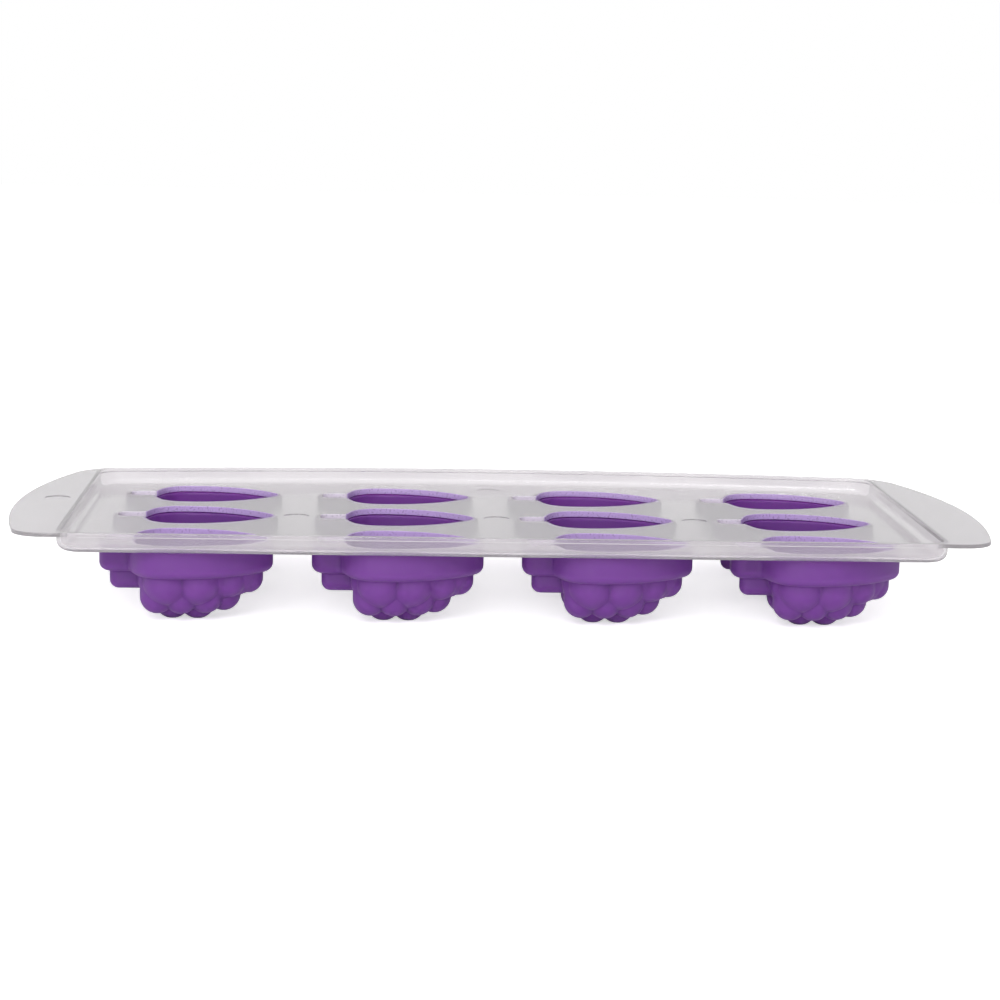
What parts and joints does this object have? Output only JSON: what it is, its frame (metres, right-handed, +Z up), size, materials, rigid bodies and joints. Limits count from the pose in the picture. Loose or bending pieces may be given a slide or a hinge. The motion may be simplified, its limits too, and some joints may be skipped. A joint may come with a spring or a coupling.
{
  "type": "ice cube mould",
  "caption": "Shallow rigid frosted plastic tray with grip tabs at both ends, carrying rows of soft berry-shaped cups that hang from slotted openings in its floor.",
  "frame": {"origin": "on the surface the cups stand on, under the centre of the tray's bounding box", "axes": "+X along the tray, from the blunt stem ends of the cups towards their tips; +Y from the straight front edge towards the bowed back edge; +Z up"},
  "size_m": [0.284, 0.13, 0.0276],
  "materials": {
    "tray_plastic": "frosted translucent natural plastic, satin",
    "cup_rubber": "soft purple rubber, satin"
  },
  "bodies": {
    "root": {"tray": "tray_plastic", "cup_front_1": "cup_rubber", "cup_front_2": "cup_rubber", "cup_front_3": "cup_rubber", "cup_front_4": "cup_rubber", "cup_middle_1": "cup_rubber", "cup_middle_2": "cup_rubber", "cup_middle_3": "cup_rubber", "cup_middle_4": "cup_rubber", "cup_back_1": "cup_rubber", "cup_back_2": "cup_rubber", "cup_back_3": "cup_rubber", "cup_back_4": "cup_rubber"}
  },
  "joints": []
}
